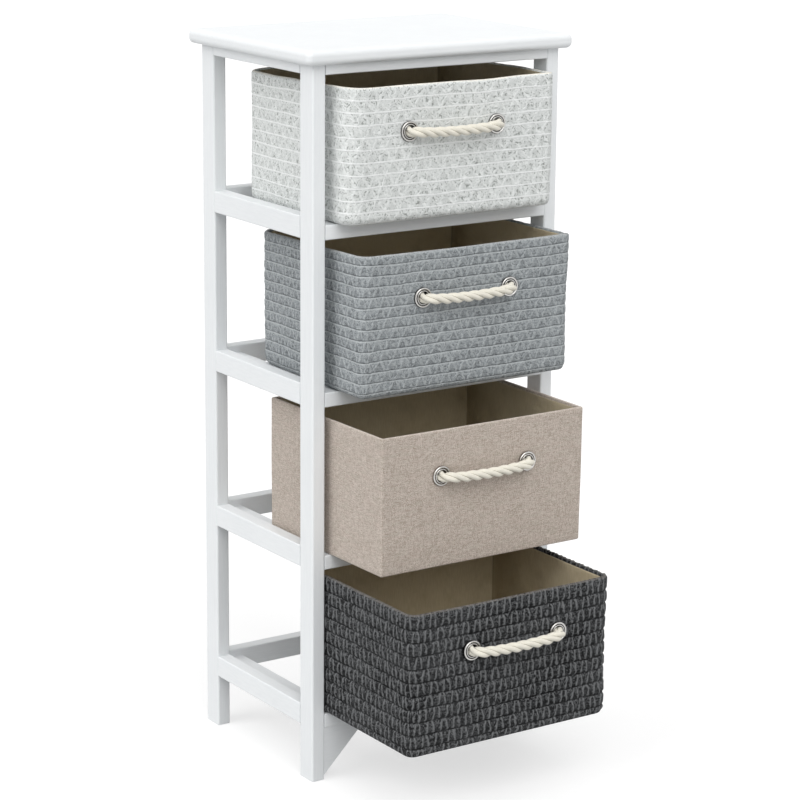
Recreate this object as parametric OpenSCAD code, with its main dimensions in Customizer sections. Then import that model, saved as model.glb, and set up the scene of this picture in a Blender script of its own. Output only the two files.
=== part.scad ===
// Storage tower: a white painted wooden frame that carries four lined baskets, one above the other.
// Each basket slides out to the front by its rope handle. The baskets stand pulled out by
// different amounts, the lowest the furthest.
// Millimetres. +Z is up, the front looks towards -Y, and the origin lies on the floor,
// in the middle of the whole tower with its baskets out.

/* [Frame] */
// Width over the legs
frame_w = 316; // [290:2:400]
// Depth over the legs
frame_d = 230; // [210:2:300]
// Height of the legs, up to the top board
leg_h = 784; // [770:2:900]
// Width of a leg, seen from the front
leg_x = 16; // [14:1:24]
// Depth of a leg, from front to back
leg_y = 26; // [24:1:36]

/* [Top board] */
// Thickness of the top board
board_t = 16; // [14:1:24]
// How far the board stands out past the legs at each side
board_over_x = 12; // [4:1:30]
// How far the board stands out past the legs at the front and back
board_over_y = 11; // [4:1:30]
// Radius of the board's corners, seen from above
board_corner_r = 7; // [6:1:20]
// Radius of the board's soft edges
board_edge_r = 5; // [2:0.5:6]

/* [Rails] */
// Height of the lowest side rails' upper edge above the floor
lowest_level = 84; // [80:2:100]
// Height of the uppermost bay, from its side rails' upper edge to the top board
top_bay_h = 160; // [150:2:200]
// Height of a side rail
side_rail_h = 24; // [20:1:30]
// Height of a front rail
front_rail_h = 16; // [12:1:18]
// Thickness of a front rail
front_rail_t = 16; // [12:1:18]
// Height of a back rail
back_rail_h = 23; // [16:1:30]
// Thickness of a back rail
back_rail_t = 16; // [12:1:18]
// Height of the rails under the top board
top_rail_h = 11; // [10:1:20]
// Width of the runners that the baskets slide on
runner_w = 22; // [20:1:30]
// Height of a runner
runner_h = 12; // [8:1:14]
// Height above the floor at which the braces' lower ends stop
brace_foot = 4; // [0:1:30]
// Thickness of a brace
brace_t = 12; // [6:1:14]
// How far a brace is set back from the front of the legs
brace_set_back = 2; // [0:0.5:3]

/* [All baskets] */
// Gap between a basket and the rails that it slides on
seat_gap = 0.3; // [0.2:0.1:1]
// Gap that is left behind a basket when it is pushed in
rear_gap = 0.5; // [0.3:0.1:4]
// How far a basket stands out past the legs when it is pushed in
closed_proud = 2.5; // [0:0.5:12]
// Wall of the braided baskets
braid_t = 6; // [4:0.5:8]
// Wall of the linen basket
linen_t = 4; // [3:0.5:6]
// Floor of a basket
floor_t = 5; // [3:0.5:8]
// Stiffening board under the lining
base_board_t = 3; // [1:0.5:5]
// Lining
liner_t = 1.5; // [1:0.1:3]
// How far the lining ends below the rim
liner_drop = 1.5; // [0:0.5:6]

/* [White basket] */
// Gap beside the basket, when it stands in the middle
white_side_gap = 9; // [6:0.5:12]
// Gap above the basket
white_top_gap = 11; // [5:0.5:40]
// Radius of the upright corners
white_corner_r = 20; // [11:1:30]
// Radius of the bottom edge
white_edge_r = 8; // [2:1:11]
// How far the basket is pulled out past the legs
white_pull = 27; // [4:1:140]
// How far the basket stands to the right of the middle
white_shift = 0; // [-4:1:4]

/* [Grey basket] */
// Gap beside the basket, when it stands in the middle
grey_side_gap = 9; // [6:0.5:12]
// Gap above the basket
grey_top_gap = 11; // [5:0.5:40]
// Radius of the upright corners
grey_corner_r = 18; // [11:1:30]
// Radius of the bottom edge
grey_edge_r = 8; // [2:1:11]
// How far the basket is pulled out past the legs
grey_pull = 52; // [4:1:140]
// How far the basket stands to the right of the middle
grey_shift = 2; // [-4:1:4]

/* [Linen basket] */
// Gap beside the basket, when it stands in the middle
linen_side_gap = 11; // [6:0.5:12]
// Gap above the basket
linen_top_gap = 14; // [5:0.5:40]
// Radius of the upright corners
linen_corner_r = 2; // [2:0.5:5]
// Radius of the bottom edge
linen_edge_r = 1.5; // [0.5:0.5:2]
// How far the basket is pulled out past the legs
linen_pull = 97; // [4:1:150]
// How far the basket stands to the right of the middle
linen_shift = -3; // [-4:1:4]

/* [Charcoal basket] */
// Gap beside the basket, when it stands in the middle
charcoal_side_gap = 12; // [8:0.5:13]
// Gap above the basket
charcoal_top_gap = 7; // [5:0.5:40]
// Radius of the upright corners
charcoal_corner_r = 18; // [11:1:30]
// Radius of the bottom edge
charcoal_edge_r = 6; // [2:1:11]
// How far the basket is pulled out past the legs
charcoal_pull = 163; // [4:1:170]
// How far the basket stands to the right of the middle
charcoal_shift = -7; // [-7:1:6]

/* [Handles] */
// Distance between a handle's two eyelets
eyelet_spacing = 112; // [80:2:140]
// Height of the rim above the eyelets
eyelet_drop = 50; // [30:1:70]
// Outer diameter of an eyelet
eyelet_d = 22; // [20:0.5:26]
// Hole of an eyelet
eyelet_hole_d = 13; // [12.5:0.5:15]
// Thickness of an eyelet's flange and of its washer
flange_t = 1.2; // [0.8:0.1:2]
// Wall of an eyelet's barrel
barrel_t = 0.8; // [0.6:0.1:1]
// Diameter of the rope
rope_d = 11.5; // [8:0.5:12]
// Diameter of the knots that stop the rope inside the basket
knot_d = 24; // [23:1:28]

/* [Fasteners] */
// Diameter of the dowels that join the rails to the legs
dowel_d = 6; // [5:0.5:6]
// Length of a dowel
dowel_l = 24; // [20:1:26]
// Diameter of the screws that hold the top board
screw_d = 4; // [3:0.5:5]
// Diameter of a screw's head
screw_head_d = 8; // [7:0.5:10]
// How far a screw reaches into the board
screw_bite = 9; // [6:1:12]
// Distance between the two screws of a side rail
screw_spacing = 110; // [60:2:130]

/* [Hidden] */
sides = [-1, 1]; // left and right, or front and back
side_names = ["left", "right"];
basket_names = ["white", "grey", "linen", "charcoal"];
levels = [1 : len(basket_names)]; // counted from the top
basket_pieces = ["shell", "liner", "base_board", "eyelets", "eyelet_washers", "rope_handle", "rope_knots"];
$fn = 96;

paint = "#eef1f3";
metal = "#b9b9b6";
lining = "#7a6a4c";
cotton = "#e8e2d0";
pulp = "#a58a63";
beech = "#d3b483";
basket_colors = ["#dcdcd8", "#979da3", "#bfb2a5", "#484a4d"];

// Legs and rails
front_y = -frame_d / 2; // front of the legs
inner_x = frame_w / 2 - leg_x; // inner faces of the legs and side rails
rail_span_x = 2 * inner_x; // length of a front or back rail
rail_span_y = frame_d - 2 * leg_y; // length of a side rail
under_board = leg_h;
level_count = len(basket_names);
level_step = (leg_h - top_bay_h - lowest_level) / (level_count - 1);
function level_z(k) = lowest_level + (level_count - k) * level_step; // upper edge of its side rails
function seat_z(k) = level_z(k) - side_rail_h + front_rail_h; // top of its front rail and runners
brace_side = lowest_level - side_rail_h - brace_foot; // both sides of a brace

// Dowels: half their length in a rail that meets the leg's deep side, less in the leg's thin side
dowel_gap = 0.1; // all round
dowel_end_gap = 0.5;
cut = 1; // how far a cut runs on past the surface that it opens
thin_cover = 6; // wood left behind a dowel in the leg's thin side
thin_bite = leg_x - thin_cover; // a dowel's reach into the leg there
deep_bite = dowel_l / 2; // and along its deep side
screw_gap = 0.3; // round a screw in its rail
pilot_gap = 0.1; // and in the board
head_h = 2.2; // height of a screw's cone

// Baskets: one value per basket, from the top down
shells_t = [braid_t, braid_t, linen_t, braid_t];
side_gaps = [white_side_gap, grey_side_gap, linen_side_gap, charcoal_side_gap];
top_gaps = [white_top_gap, grey_top_gap, linen_top_gap, charcoal_top_gap];
corner_rs = [white_corner_r, grey_corner_r, linen_corner_r, charcoal_corner_r];
edge_rs = [white_edge_r, grey_edge_r, linen_edge_r, charcoal_edge_r];
pulls = [white_pull, grey_pull, linen_pull, charcoal_pull];
shifts = [white_shift, grey_shift, linen_shift, charcoal_shift];
basket_d = frame_d - back_rail_t - rear_gap + closed_proud;
function basket_w(k) = rail_span_x - 2 * side_gaps[k - 1];
function ceiling_z(k) = k == 1 ? under_board - top_rail_h : level_z(k - 1) - side_rail_h;
function basket_h(k) = ceiling_z(k) - seat_z(k) - seat_gap - top_gaps[k - 1];
liner_gap = 0.3; // between lining and shell
wall_gap = 0.2; // round an eyelet's barrel
// From the basket's front to the lining's inner face
function inner_face(k) = shells_t[k - 1] + liner_gap + liner_t;
function base_z() = floor_t + base_board_t; // underside of the lining

// Rope: half of its route, from the knot to the middle of the handle. Each point is the step
// from the eyelet's centre towards the middle, out from the basket's front, and up.
bend_route = [[0, -2, 0], [0, 2, 0], [0.7, 5.4, 0], [2.6, 8.4, -0.1], [5.6, 10.4, -0.2], [9.5, 11.2, -0.5]];
span_route = [[0.35, 11.8, -1.3], [0.65, 12.2, -1.9]]; // first value: share of the way to the middle
middle_point = [12.4, -2.2]; // out and up
rope_sides = 12;
knot_seat = 0.76; // flat at the knot's front, as a share of its radius
stub_l = 9; // rope that stands out behind a knot

// The overall depth of the open tower without its ropes ends at the foremost eyelets
eyelet_front = max(pulls) + flange_t;
origin_y = (board_over_y - eyelet_front) / 2; // middle of the depth without the ropes

// Shapes that repeat

module rounded_rect(w, d, r) {
    if (r <= 0) {
        square([w, d], center = true);
    } else {
        square([w, d - 2 * r], center = true);
        square([w - 2 * r, d], center = true);
        for (x = sides, y = sides)
            translate([x * (w / 2 - r), y * (d / 2 - r)]) circle(r);
    }
}

// A quarter of a disc below and outside of its centre, which lies r above the ground
module quarter_disc(r) {
    intersection() {
        translate([0, r]) circle(r);
        square(r);
    }
}

// A soft lower edge round a rectangle with round corners, r high
module soft_edge(w, d, corner_r, r) {
    linear_extrude(r) rounded_rect(w - 2 * r, d - 2 * r, corner_r - r);
    for (turn = [0, 180]) rotate(turn) {
        translate([0, d / 2 - r, 0]) rotate([90, 0, 90])
            linear_extrude(w - 2 * corner_r, center = true) quarter_disc(r);
        rotate(90) translate([0, w / 2 - r, 0]) rotate([90, 0, 90])
            linear_extrude(d - 2 * corner_r, center = true) quarter_disc(r);
    }
    for (x = sides, y = sides)
        translate([x * (w / 2 - corner_r), y * (d / 2 - corner_r), 0])
            rotate(x * y > 0 ? (x > 0 ? 0 : 180) : (x > 0 ? 270 : 90))
                rotate_extrude(angle = 90) translate([corner_r - r, 0]) quarter_disc(r);
}

// A block with round upright corners and a soft lower edge, and a soft upper edge if it has one
module soft_block(w, d, h, corner_r, bottom_r, top_r = 0) {
    translate([0, 0, bottom_r]) linear_extrude(h - bottom_r - top_r) rounded_rect(w, d, corner_r);
    soft_edge(w, d, corner_r, bottom_r);
    if (top_r > 0) translate([0, 0, h]) mirror([0, 0, 1]) soft_edge(w, d, corner_r, top_r);
}

// A box between two corners
module span_box(low, high) {
    translate(low) cube(high - low);
}

// A round bar from the origin along +X or +Y
module bar_x(d, l) {
    rotate([0, 90, 0]) cylinder(d = d, h = l);
}

module bar_y(d, l) {
    rotate([-90, 0, 0]) cylinder(d = d, h = l);
}

// The frame's pieces are drawn round the middle of the frame and moved back with this
module in_place() {
    translate([0, -origin_y, 0]) children();
}

// Dowels

// Heights of the dowels at one corner: along the side rails, and along the front or back rails
function side_dowel_zs() = concat(
    [under_board - top_rail_h / 2],
    [for (k = levels) level_z(k) - side_rail_h / 2]
);
function front_dowel_zs() = concat(
    [under_board - top_rail_h / 2],
    [for (k = levels) seat_z(k) - front_rail_h / 2]
);
function back_dowel_zs() = concat(
    [under_board - top_rail_h / 2],
    [for (k = levels) level_z(k) - back_rail_h / 2]
);
function cross_rail_y(end) = end < 0 ? front_y + front_rail_t / 2 : -front_y - back_rail_t / 2;

// The dowels of one corner of the frame, side and end -1 or 1, or their holes with a gap
module corner_dowels(side, end, gap = 0, end_gap = 0) {
    thin_x = inner_x + thin_bite - dowel_l; // nearest point to the middle
    deep_y = frame_d / 2 - leg_y + deep_bite - dowel_l;
    for (z = end < 0 ? front_dowel_zs() : back_dowel_zs())
        translate([0, cross_rail_y(end), z]) mirror([side < 0 ? 1 : 0, 0, 0])
            translate([thin_x - end_gap, 0, 0]) bar_x(dowel_d + 2 * gap, dowel_l + 2 * end_gap);
    for (z = side_dowel_zs())
        translate([side * (inner_x + leg_x / 2), 0, z]) mirror([0, end < 0 ? 1 : 0, 0])
            translate([0, deep_y - end_gap, 0]) bar_y(dowel_d + 2 * gap, dowel_l + 2 * end_gap);
}

module rail_dowels() color(beech) in_place()
    for (side = sides, end = sides) corner_dowels(side, end);

module dowel_holes() {
    for (side = sides, end = sides) corner_dowels(side, end, dowel_gap, dowel_end_gap);
}

// Legs and rails

module leg(side, end) color(paint) in_place() difference() {
    translate([side * (frame_w - leg_x) / 2, end * (frame_d - leg_y) / 2, leg_h / 2])
        cube([leg_x, leg_y, leg_h], center = true);
    corner_dowels(side, end, dowel_gap, dowel_end_gap);
}

module side_rail(side, top_z, h) color(paint) in_place() difference() {
    translate([side * (inner_x + leg_x / 2), 0, top_z - h / 2])
        cube([leg_x, rail_span_y, h], center = true);
    dowel_holes();
    if (top_z == under_board) board_screw_shafts(screw_gap);
}

module cross_rail(end, top_z, h, t) color(paint) in_place() difference() {
    translate([0, cross_rail_y(end), top_z - h / 2]) cube([rail_span_x, t, h], center = true);
    dowel_holes();
}

module front_rail(k) cross_rail(-1, seat_z(k), front_rail_h, front_rail_t);
module back_rail(k) cross_rail(1, level_z(k), back_rail_h, back_rail_t);

// Four runners on one side, under the baskets' edges
module runners(side) color(paint) in_place()
    for (k = levels)
        span_box(
            [side < 0 ? -inner_x : inner_x - runner_w, front_y + front_rail_t, seat_z(k) - runner_h],
            [side < 0 ? -inner_x + runner_w : inner_x, -front_y - back_rail_t, seat_z(k)]
        );

// Brace in the corner between a front leg and the lowest front rail
module corner_brace(side) color(paint) in_place()
    translate([side * inner_x, front_y + brace_set_back, seat_z(level_count) - front_rail_h])
        rotate([90, 0, 0]) mirror([side > 0 ? 1 : 0, 0, 0]) translate([0, 0, -brace_t])
            linear_extrude(brace_t) polygon([[0, 0], [0, -brace_side], [brace_side, 0]]);

// Top board and its screws, which come up through the top side rails

module board_screw_shafts(gap) {
    for (side = sides, end = sides)
        translate([side * (inner_x + leg_x / 2), end * screw_spacing / 2, under_board - top_rail_h]) {
            cylinder(d = screw_d + 2 * gap, h = top_rail_h);
            cylinder(d1 = screw_head_d, d2 = screw_d + 2 * gap, h = head_h);
        }
}

module pilot_holes() {
    for (side = sides, end = sides)
        translate([side * (inner_x + leg_x / 2), end * screw_spacing / 2, under_board - cut])
            cylinder(d = screw_d + 2 * pilot_gap, h = screw_bite + cut + dowel_end_gap);
}

module top_board() color(paint) in_place() difference() {
    translate([0, 0, under_board])
        soft_block(
            frame_w + 2 * board_over_x, frame_d + 2 * board_over_y, board_t,
            board_corner_r, board_edge_r, board_edge_r
        );
    pilot_holes();
}

module board_screws() color(metal) in_place()
    for (side = sides, end = sides)
        translate([side * (inner_x + leg_x / 2), end * screw_spacing / 2, under_board - top_rail_h]) {
            cylinder(d = screw_d, h = top_rail_h + screw_bite);
            cylinder(d1 = screw_head_d, d2 = screw_d, h = head_h * (screw_head_d - screw_d)
                / (screw_head_d - screw_d - 2 * screw_gap));
        }

// Baskets: drawn with the middle of their front's lower edge at the origin, then moved to their place

module at_basket(k) {
    in_place() translate([shifts[k - 1], front_y - pulls[k - 1], seat_z(k) + seat_gap]) children();
}

// Both eyelet centres, at the basket's front face
module at_eyelets(k) {
    for (x = sides)
        translate([x * eyelet_spacing / 2, 0, basket_h(k) - eyelet_drop]) children();
}

// Upright block of a basket's size, smaller all round by inset
module basket_block(k, inset, low, high) {
    translate([0, basket_d / 2, low]) linear_extrude(high - low)
        rounded_rect(basket_w(k) - 2 * inset, basket_d - 2 * inset, corner_rs[k - 1] - inset);
}

module shell(k) color(basket_colors[k - 1]) at_basket(k) difference() {
    translate([0, basket_d / 2, 0])
        soft_block(basket_w(k), basket_d, basket_h(k), corner_rs[k - 1], edge_rs[k - 1]);
    basket_block(k, shells_t[k - 1], floor_t, basket_h(k) + cut);
    at_eyelets(k) translate([0, -cut, 0])
        bar_y(eyelet_hole_d + 2 * (barrel_t + wall_gap), shells_t[k - 1] + 2 * cut);
}

module base_board(k) color(pulp) at_basket(k)
    basket_block(k, shells_t[k - 1] + liner_gap, floor_t, base_z());

module liner(k) color(lining) at_basket(k) difference() {
    basket_block(k, shells_t[k - 1] + liner_gap, base_z(), basket_h(k) - liner_drop);
    basket_block(k, inner_face(k), base_z() + liner_t, basket_h(k) + cut);
    at_eyelets(k) translate([0, shells_t[k - 1], 0])
        bar_y(eyelet_hole_d + 2 * (barrel_t + wall_gap), liner_gap + liner_t + cut);
}

// Flange in front of the wall, with a barrel through it that ends flush with the washer
module eyelets(k) color(metal) at_basket(k) at_eyelets(k)
    rotate([-90, 0, 0]) rotate_extrude() difference() {
        union() {
            translate([0, -flange_t]) square([eyelet_d / 2, flange_t]);
            square([eyelet_hole_d / 2 + barrel_t, inner_face(k) + flange_t]);
        }
        translate([-cut, -flange_t - cut])
            square([eyelet_hole_d / 2 + cut, inner_face(k) + 2 * flange_t + 2 * cut]);
    }

module eyelet_washers(k) color(metal) at_basket(k) at_eyelets(k)
    translate([0, inner_face(k), 0]) difference() {
        bar_y(eyelet_d, flange_t);
        translate([0, -cut, 0]) bar_y(eyelet_hole_d + 2 * (barrel_t + wall_gap / 2), flange_t + 2 * cut);
    }

// Knots against the washers: a ball with a flat front where the rope enters, and a short end of rope
function knot_front(k) = inner_face(k) + flange_t;

module rope_knots(k) color(cotton) at_basket(k) at_eyelets(k)
    translate([0, knot_front(k), 0]) rotate([-90, 0, 0]) rotate_extrude($fn = 48)
        intersection() {
            union() {
                translate([0, knot_seat * knot_d / 2]) circle(d = knot_d);
                translate([0, knot_seat * knot_d / 2]) square([rope_d / 2, knot_d / 2 + stub_l]);
            }
            square([knot_d, 2 * knot_d]);
        }

// Rope: a tube along its route, with its rings square to the way that it runs
function half_route(k, side) = concat(
    [[side * eyelet_spacing / 2, knot_front(k), 0]],
    [for (p = bend_route) [side * (eyelet_spacing / 2 - p[0]), -p[1], p[2]]],
    [for (p = span_route) [side * (1 - p[0]) * eyelet_spacing / 2, -p[1], p[2]]]
);
function flipped(list) = [for (i = [len(list) - 1 : -1 : 0]) list[i]];
function rope_route(k) = concat(
    half_route(k, -1), [[0, -middle_point[0], middle_point[1]]], flipped(half_route(k, 1))
);
function unit(v) = v / norm(v);
function heading(route, i) = unit(route[min(i + 1, len(route) - 1)] - route[max(i - 1, 0)]);
function ring(route, i) = let (
    ahead = heading(route, i),
    up = unit([0, 0, 1] - ahead * ahead[2]),
    across = cross(ahead, up)
) [for (j = [0 : rope_sides - 1])
    route[i] + rope_d / 2 * (up * cos(360 * j / rope_sides) + across * sin(360 * j / rope_sides))];

module rope_tube(route) {
    rings = len(route);
    last = (rings - 1) * rope_sides;
    polyhedron(
        points = [for (i = [0 : rings - 1]) each ring(route, i)],
        faces = concat(
            [[for (j = [0 : rope_sides - 1]) j]],
            [for (i = [0 : rings - 2], j = [0 : rope_sides - 1]) let (
                a = i * rope_sides + j,
                b = i * rope_sides + (j + 1) % rope_sides
            ) each [[a, a + rope_sides, b], [b, a + rope_sides, b + rope_sides]]],
            [[for (j = [rope_sides - 1 : -1 : 0]) last + j]]
        )
    );
}

module rope_handle(k) color(cotton) at_basket(k)
    translate([0, 0, basket_h(k) - eyelet_drop]) rope_tube(rope_route(k));

// One line for each node

top_board();
leg(-1, -1);  // front_left_leg
leg(1, -1);  // front_right_leg
leg(-1, 1);  // back_left_leg
leg(1, 1);  // back_right_leg
for (s = [0, 1])
    side_rail(sides[s], under_board, top_rail_h);
for (s = [0, 1], k = levels)
    side_rail(sides[s], level_z(k), side_rail_h);
cross_rail(-1, under_board, top_rail_h, front_rail_t);  // front_rail_top
cross_rail(1, under_board, top_rail_h, back_rail_t);  // back_rail_top
for (k = levels) front_rail(k);
for (k = levels) back_rail(k);
for (s = [0, 1]) runners(sides[s]);
for (s = [0, 1]) corner_brace(sides[s]);
rail_dowels();
board_screws();
for (k = levels) shell(k);
for (k = levels) liner(k);
for (k = levels) base_board(k);
for (k = levels) eyelets(k);
for (k = levels) eyelet_washers(k);
for (k = levels) rope_handle(k);
for (k = levels) rope_knots(k);
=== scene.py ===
import math

import bmesh
import bpy
import numpy as np
from mathutils import Matrix, Vector


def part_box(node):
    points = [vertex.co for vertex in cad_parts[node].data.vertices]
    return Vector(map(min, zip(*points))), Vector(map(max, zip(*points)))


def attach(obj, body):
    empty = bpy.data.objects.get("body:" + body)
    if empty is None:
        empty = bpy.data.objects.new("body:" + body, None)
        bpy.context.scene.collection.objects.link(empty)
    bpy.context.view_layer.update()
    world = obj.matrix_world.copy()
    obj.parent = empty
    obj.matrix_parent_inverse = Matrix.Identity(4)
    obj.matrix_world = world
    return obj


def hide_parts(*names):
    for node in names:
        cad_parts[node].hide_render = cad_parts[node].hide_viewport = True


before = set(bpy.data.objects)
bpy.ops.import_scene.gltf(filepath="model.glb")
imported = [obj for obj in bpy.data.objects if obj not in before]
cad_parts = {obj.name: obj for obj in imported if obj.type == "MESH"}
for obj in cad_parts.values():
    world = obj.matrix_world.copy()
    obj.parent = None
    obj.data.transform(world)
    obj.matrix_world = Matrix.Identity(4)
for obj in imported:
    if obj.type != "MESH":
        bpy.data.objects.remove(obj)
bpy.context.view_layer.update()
mm = 0.001
print("frame loaded:", len(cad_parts), "nodes")

cameraView = {
    "place": (-1.6156, -2.3708, 1.1232),
    "turn": 0.592,  # to the right of straight ahead, in radians
    "dip": 0.2346,  # below the horizon
    "roll": 0.0086,
    "lens": 120.93,
    "shiftUp": -0.04,
    "clip": (0.05, 50),
}


def putInScene(name, data):
    thing = bpy.data.objects.new(name, data)
    bpy.context.scene.collection.objects.link(thing)
    return thing


def makeCamera(view):
    # three square axes from the camera's turn and dip, and then its roll about the line of sight
    turn, dip, roll = view["turn"], view["dip"], view["roll"]
    ahead = Vector((math.sin(turn) * math.cos(dip), math.cos(turn) * math.cos(dip), -math.sin(dip)))
    across = ahead.cross(Vector((0, 0, 1))).normalized()
    across = across * math.cos(roll) + across.cross(ahead) * math.sin(roll)
    data = bpy.data.cameras.new("camera")
    data.lens = view["lens"]
    data.shift_y = view["shiftUp"]
    data.clip_start, data.clip_end = view["clip"]
    camera = putInScene("camera", data)
    axes = Matrix((across, across.cross(ahead), -ahead)).transposed()
    camera.matrix_world = Matrix.Translation(view["place"]) @ axes.to_4x4()
    bpy.context.scene.camera = camera


makeCamera(cameraView)
bpy.context.scene.view_settings.view_transform = "Standard"
print("camera placed")


class Wire:
    # a socket that can be written in a sum, and adds the Math nodes that the sum needs

    def __init__(self, shader, socket):
        self.shader = shader
        self.socket = socket

    def maths(self, operation, *values):
        return self.shader.node("ShaderNodeMath", {"operation": operation}, dict(enumerate(values)))

    def __add__(self, other):
        return self.maths("ADD", self, other)

    def __sub__(self, other):
        return self.maths("SUBTRACT", self, other)

    def __rsub__(self, other):
        return self.maths("SUBTRACT", other, self)

    def __mul__(self, other):
        return self.maths("MULTIPLY", self, other)

    def __truediv__(self, other):
        return self.maths("DIVIDE", self, other)

    def __pow__(self, other):
        return self.maths("POWER", self, other)

    __radd__ = __add__
    __rmul__ = __mul__


class Shader:
    # a tree of shader nodes

    def __init__(self, tree):
        self.tree = tree

    def wire(self, node, values):
        # each value goes to the socket of that name or number, and _ stands for a space
        for key, value in values.items():
            socket = node.inputs[key.replace("_", " ") if isinstance(key, str) else key]
            if isinstance(value, Wire):
                self.tree.links.new(value.socket, socket)
            elif hasattr(value, "__len__"):
                socket.default_value = (*value, 1.0)[: len(socket.default_value)]
            else:
                socket.default_value = value

    def node(self, kind, settings=None, values=None, out=0):
        # a node of the kind, with its settings made first and then its sockets' values or links
        made = self.tree.nodes.new(kind)
        for key, value in (settings or {}).items():
            setattr(made, key, value)
        self.wire(made, values or {})
        return Wire(self, made.outputs[out])

    def place(self):
        # the piece's own coordinates, in metres
        return self.node("ShaderNodeTexCoord", out="Object")

    def cloth(self):
        # the piece's UV map: metres round the piece, and metres along its profile
        return self.node("ShaderNodeTexCoord", out="UV")

    def onShow(self):
        # 1 on the camera's own rays and on those from a glossy surface, and 0 on all others
        camera = self.node("ShaderNodeLightPath", out="Is Camera Ray")
        return most(camera, self.node("ShaderNodeLightPath", out="Is Glossy Ray"))

    def scaled(self, vector, factors):
        return self.node("ShaderNodeVectorMath", {"operation": "MULTIPLY"}, {0: vector, 1: factors})

    def joined(self, x, y, z):
        return self.node("ShaderNodeCombineXYZ", {}, {0: x, 1: y, 2: z})

    def axes(self, vector):
        split = self.node("ShaderNodeSeparateXYZ", {}, {0: vector}).socket.node
        return [Wire(self, socket) for socket in split.outputs]

    def noise(self, vector, scale, detail=2.0, rough=0.5, **more):
        values = {"Vector": vector, "Scale": scale, "Detail": detail, "Roughness": rough, **more}
        return self.node("ShaderNodeTexNoise", {}, values)

    def mix(self, factor, first, second):
        settings = {"data_type": "RGBA", "clamp_factor": True}
        return self.node("ShaderNodeMix", settings, {0: factor, 6: first, 7: second}, 2)

    def coats(self, color, look, *layers):
        # colours of the look over the first one, each as far as its wire or number says
        for amount, tone in layers:
            color = self.mix(amount, color, look[tone])
        return color

    def bump(self, height, distance, strength=1.0, **under):
        values = {"Height": height, "Distance": distance, "Strength": strength, **under}
        return self.node("ShaderNodeBump", {}, values)


class Paint(Shader):
    # one material, whose surface shader is made first and wired up later

    def __init__(self, name, **values):
        self.material = bpy.data.materials.new(name)
        self.material.use_nodes = True
        super().__init__(self.material.node_tree)
        self.tree.nodes.clear()
        output = self.tree.nodes.new("ShaderNodeOutputMaterial")
        self.surface = self.tree.nodes.new("ShaderNodeBsdfPrincipled")
        self.tree.links.new(self.surface.outputs[0], output.inputs[0])
        self.finish(**values)

    def finish(self, **values):
        self.wire(self.surface, values)


def eitherWay(operation, onArrays):
    # a function that adds a Math node to a wire, and works out an array or a number
    def work(first, *others):
        if isinstance(first, Wire):
            return first.maths(operation, first, *others)
        return onArrays(first, *others)

    return work


sine = eitherWay("SINE", np.sin)
size = eitherWay("ABSOLUTE", np.abs)
whole = eitherWay("FLOOR", np.floor)
part = eitherWay("FRACT", lambda value: value - np.floor(value))
least = eitherWay("MINIMUM", np.minimum)
most = eitherWay("MAXIMUM", np.maximum)


def slope(value, low, high):
    # 0 at low, 1 at high, and a soft slope between them
    if not isinstance(value, Wire):
        share = np.clip((value - low) / (high - low), 0, 1)
        return share * share * (3 - 2 * share)
    if low > high:
        return 1 - slope(value, high, low)
    settings = {"clamp": True, "interpolation_type": "SMOOTHSTEP"}
    return value.shader.node("ShaderNodeMapRange", settings, {0: value, 1: low, 2: high})


def surfaceMesh(name, points, uv=None, loop=False):
    # points is rings x places round x 3. Each ring is joined to the next by a band of quads that
    # closes round. The first and last rings are closed by one flat face each, or joined in a loop
    rings, around = points.shape[:2]
    ring, place = np.meshgrid(np.arange(rings if loop else rings - 1), np.arange(around), indexing="ij")
    beside, above = (place + 1) % around, (ring + 1) % rings
    quads = [ring * around + place, ring * around + beside, above * around + beside, above * around + place]
    corners = np.stack(quads, axis=-1).ravel()
    starts = np.arange(ring.size) * 4
    if not loop:
        starts = np.append(starts, [len(corners), len(corners) + around])
        last = (rings - 1) * around + np.arange(around)
        corners = np.concatenate([corners, np.arange(around)[::-1], last])
    mesh = bpy.data.meshes.new(name)
    mesh.vertices.add(rings * around)
    mesh.vertices.foreach_set("co", points.reshape(-1).astype(np.float32))
    mesh.loops.add(len(corners))
    mesh.loops.foreach_set("vertex_index", corners.astype(np.int32))
    mesh.polygons.add(len(starts))
    mesh.polygons.foreach_set("loop_start", starts.astype(np.int32))
    mesh.polygons.foreach_set("use_smooth", np.full(len(starts), True))
    mesh.update(calc_edges=True)
    if uv is not None:
        # uv is (rings, around + 1, 2): its last column is the first one again, a whole turn on
        band = [uv[ring, place], uv[ring, place + 1], uv[ring + 1, place + 1], uv[ring + 1, place]]
        flat = np.stack(band, axis=-2).reshape(-1, 2)
        if not loop:
            flat = np.concatenate([flat, uv[0, :around][::-1], uv[-1, :around]])
        mesh.uv_layers.new(name="cloth").data.foreach_set("uv", flat.astype(np.float32).ravel())
    mesh.validate()
    return mesh


def joinSurfaces(name, surfaces):
    # several surfaces in one mesh: their vertices, faces and UVs follow each other
    merged = bmesh.new()
    for surface in surfaces:
        merged.from_mesh(surface)
        bpy.data.meshes.remove(surface)
    bmesh.ops.recalc_face_normals(merged, faces=merged.faces)
    mesh = bpy.data.meshes.new(name)
    merged.to_mesh(mesh)
    merged.free()
    return mesh


def addPiece(mesh, body, material, node):
    # the piece is named as its mesh, rides on the body and stands for the node
    piece = putInScene(mesh.name, mesh)
    piece.data.materials.append(material)
    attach(piece, body)
    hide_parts(node)
    return piece


def boxOf(node, drop=0.0):
    # a node's width, depth and height, less a drop of its top, and the middle of its bottom
    low, high = (np.array(corner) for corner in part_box(node))
    return high - low - (0, 0, drop), (low + high) / 2 * (1, 1, 0) + low * (0, 0, 1)


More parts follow.
